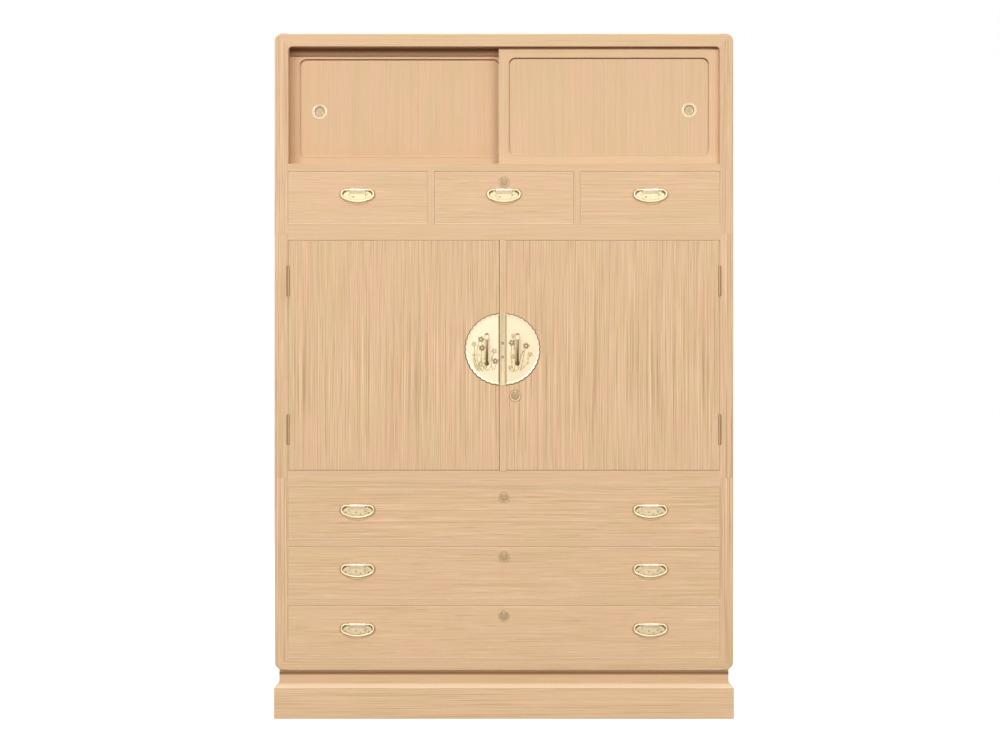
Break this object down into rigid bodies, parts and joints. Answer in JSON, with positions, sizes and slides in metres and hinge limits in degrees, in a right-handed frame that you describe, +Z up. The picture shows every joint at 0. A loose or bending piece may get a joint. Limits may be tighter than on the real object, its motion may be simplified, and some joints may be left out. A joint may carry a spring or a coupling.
{
  "type": "clothing chest",
  "caption": "Tall stacked clothing chest on a plinth, with sliding doors above, small drawers, hinged doors over trays, and wide drawers with bail handles.",
  "frame": {"origin": "on the floor, in the middle of the whole outline seen from above, with the door pulls counted", "axes": "+X to the right seen from the front, +Y to the back, +Z up; the front faces -Y"},
  "size_m": [1.1406, 0.472, 1.7],
  "materials": {
    "case_wood": "powder-rubbed pale paulownia, satin",
    "front_wood": "straight-grained pale paulownia, satin",
    "inner_wood": "plain planed paulownia",
    "brass": "pale brushed brass",
    "bronze": "darkened bronze"
  },
  "bodies": {
    "chest": {"upper_case_top": "case_wood", "upper_case_sides": "case_wood", "upper_case_bottom": "case_wood", "sliding_door_tracks": "case_wood", "small_drawer_dividers": "case_wood", "middle_case_sides": "case_wood", "middle_case_top_and_bottom": "case_wood", "lower_case_sides": "case_wood", "lower_case_top_and_bottom": "case_wood", "lower_drawer_shelves": "case_wood", "case_backs": "inner_wood", "tray_runners": "inner_wood", "clothing_trays": "inner_wood", "plinth_neck": "case_wood", "plinth_base": "case_wood", "frame_hinges": "brass"},
    "left_sliding_door": {"left_sliding_door": "front_wood", "left_finger_cup": "brass"},
    "right_sliding_door": {"right_sliding_door": "front_wood", "right_finger_cup": "brass"},
    "left_door": {"left_door": "front_wood", "left_door_plate": "brass", "left_door_hinges": "brass"},
    "right_door": {"right_door": "front_wood", "right_door_plate": "brass", "right_door_hinges": "brass", "meeting_strip": "front_wood", "door_lock": "brass"},
    "door_keyhole_cover": {"door_keyhole_cover": "bronze"},
    "small_drawer_left": {"small_drawer_left_front": "front_wood", "small_drawer_left_box": "inner_wood", "small_drawer_left_fittings": "brass"},
    "small_drawer_left_bail": {"small_drawer_left_bail": "brass"},
    "small_drawer_centre": {"small_drawer_centre_front": "front_wood", "small_drawer_centre_box": "inner_wood", "small_drawer_centre_fittings": "brass"},
    "small_drawer_centre_bail": {"small_drawer_centre_bail": "brass"},
    "small_drawer_centre_keyhole_cover": {"small_drawer_centre_keyhole_cover": "bronze"},
    "small_drawer_right": {"small_drawer_right_front": "front_wood", "small_drawer_right_box": "inner_wood", "small_drawer_right_fittings": "brass"},
    "small_drawer_right_bail": {"small_drawer_right_bail": "brass"},
    "wide_drawer_bottom": {"wide_drawer_bottom_front": "front_wood", "wide_drawer_bottom_box": "inner_wood", "wide_drawer_bottom_fittings": "brass"},
    "wide_drawer_bottom_left_bail": {"wide_drawer_bottom_left_bail": "brass"},
    "wide_drawer_bottom_right_bail": {"wide_drawer_bottom_right_bail": "brass"},
    "wide_drawer_bottom_keyhole_cover": {"wide_drawer_bottom_keyhole_cover": "bronze"},
    "wide_drawer_middle": {"wide_drawer_middle_front": "front_wood", "wide_drawer_middle_box": "inner_wood", "wide_drawer_middle_fittings": "brass"},
    "wide_drawer_middle_left_bail": {"wide_drawer_middle_left_bail": "brass"},
    "wide_drawer_middle_right_bail": {"wide_drawer_middle_right_bail": "brass"},
    "wide_drawer_middle_keyhole_cover": {"wide_drawer_middle_keyhole_cover": "bronze"},
    "wide_drawer_top": {"wide_drawer_top_front": "front_wood", "wide_drawer_top_box": "inner_wood", "wide_drawer_top_fittings": "brass"},
    "wide_drawer_top_left_bail": {"wide_drawer_top_left_bail": "brass"},
    "wide_drawer_top_right_bail": {"wide_drawer_top_right_bail": "brass"},
    "wide_drawer_top_keyhole_cover": {"wide_drawer_top_keyhole_cover": "bronze"}
  },
  "joints": [
    {"name": "left_sliding_door_travel", "type": "slide", "parent": "chest", "child": "left_sliding_door", "axis": [1, 0, 0], "range_m": [0, 0.52]},
    {"name": "right_sliding_door_travel", "type": "slide", "parent": "chest", "child": "right_sliding_door", "axis": [-1, 0, 0], "range_m": [0, 0.52]},
    {"name": "left_door_swing", "type": "hinge", "parent": "chest", "child": "left_door", "pos_m": [-0.53505, -0.2155, 0.9015], "axis": [0, 0, -1], "range_deg": [0, 170]},
    {"name": "right_door_swing", "type": "hinge", "parent": "chest", "child": "right_door", "pos_m": [0.53505, -0.2155, 0.9015], "axis": [0, 0, 1], "range_deg": [0, 170]},
    {"name": "door_keyhole_cover_turn", "type": "hinge", "parent": "right_door", "child": "door_keyhole_cover", "pos_m": [0.028, -0.21615, 0.8106], "axis": [0, 1, 0], "range_deg": [-90, 90]},
    {"name": "small_drawer_left_travel", "type": "slide", "parent": "chest", "child": "small_drawer_left", "axis": [0, -1, 0], "range_m": [0, 0.3]},
    {"name": "small_drawer_left_bail_swing", "type": "hinge", "parent": "small_drawer_left", "child": "small_drawer_left_bail", "pos_m": [-0.363, -0.219, 1.31125], "axis": [-1, 0, 0], "range_deg": [0, 95]},
    {"name": "small_drawer_centre_travel", "type": "slide", "parent": "chest", "child": "small_drawer_centre", "axis": [0, -1, 0], "range_m": [0, 0.3]},
    {"name": "small_drawer_centre_bail_swing", "type": "hinge", "parent": "small_drawer_centre", "child": "small_drawer_centre_bail", "pos_m": [0, -0.219, 1.31125], "axis": [-1, 0, 0], "range_deg": [0, 95]},
    {"name": "small_drawer_centre_keyhole_cover_turn", "type": "hinge", "parent": "small_drawer_centre", "child": "small_drawer_centre_keyhole_cover", "pos_m": [0, -0.21615, 1.34035], "axis": [0, 1, 0], "range_deg": [-90, 90]},
    {"name": "small_drawer_right_travel", "type": "slide", "parent": "chest", "child": "small_drawer_right", "axis": [0, -1, 0], "range_m": [0, 0.3]},
    {"name": "small_drawer_right_bail_swing", "type": "hinge", "parent": "small_drawer_right", "child": "small_drawer_right_bail", "pos_m": [0.363, -0.219, 1.31125], "axis": [-1, 0, 0], "range_deg": [0, 95]},
    {"name": "wide_drawer_bottom_travel", "type": "slide", "parent": "chest", "child": "wide_drawer_bottom", "axis": [0, -1, 0], "range_m": [0, 0.32]},
    {"name": "wide_drawer_bottom_left_bail_swing", "type": "hinge", "parent": "wide_drawer_bottom", "child": "wide_drawer_bottom_left_bail", "pos_m": [-0.363, -0.219, 0.235], "axis": [-1, 0, 0], "range_deg": [0, 95]},
    {"name": "wide_drawer_bottom_right_bail_swing", "type": "hinge", "parent": "wide_drawer_bottom", "child": "wide_drawer_bottom_right_bail", "pos_m": [0.363, -0.219, 0.235], "axis": [-1, 0, 0], "range_deg": [0, 95]},
    {"name": "wide_drawer_bottom_keyhole_cover_turn", "type": "hinge", "parent": "wide_drawer_bottom", "child": "wide_drawer_bottom_keyhole_cover", "pos_m": [0, -0.21615, 0.2641], "axis": [0, 1, 0], "range_deg": [-90, 90]},
    {"name": "wide_drawer_middle_travel", "type": "slide", "parent": "chest", "child": "wide_drawer_middle", "axis": [0, -1, 0], "range_m": [0, 0.32]},
    {"name": "wide_drawer_middle_left_bail_swing", "type": "hinge", "parent": "wide_drawer_middle", "child": "wide_drawer_middle_left_bail", "pos_m": [-0.363, -0.219, 0.382], "axis": [-1, 0, 0], "range_deg": [0, 95]},
    {"name": "wide_drawer_middle_right_bail_swing", "type": "hinge", "parent": "wide_drawer_middle", "child": "wide_drawer_middle_right_bail", "pos_m": [0.363, -0.219, 0.382], "axis": [-1, 0, 0], "range_deg": [0, 95]},
    {"name": "wide_drawer_middle_keyhole_cover_turn", "type": "hinge", "parent": "wide_drawer_middle", "child": "wide_drawer_middle_keyhole_cover", "pos_m": [0, -0.21615, 0.4111], "axis": [0, 1, 0], "range_deg": [-90, 90]},
    {"name": "wide_drawer_top_travel", "type": "slide", "parent": "chest", "child": "wide_drawer_top", "axis": [0, -1, 0], "range_m": [0, 0.32]},
    {"name": "wide_drawer_top_left_bail_swing", "type": "hinge", "parent": "wide_drawer_top", "child": "wide_drawer_top_left_bail", "pos_m": [-0.363, -0.219, 0.529], "axis": [-1, 0, 0], "range_deg": [0, 95]},
    {"name": "wide_drawer_top_right_bail_swing", "type": "hinge", "parent": "wide_drawer_top", "child": "wide_drawer_top_right_bail", "pos_m": [0.363, -0.219, 0.529], "axis": [-1, 0, 0], "range_deg": [0, 95]},
    {"name": "wide_drawer_top_keyhole_cover_turn", "type": "hinge", "parent": "wide_drawer_top", "child": "wide_drawer_top_keyhole_cover", "pos_m": [0, -0.21615, 0.5581], "axis": [0, 1, 0], "range_deg": [-90, 90]}
  ]
}
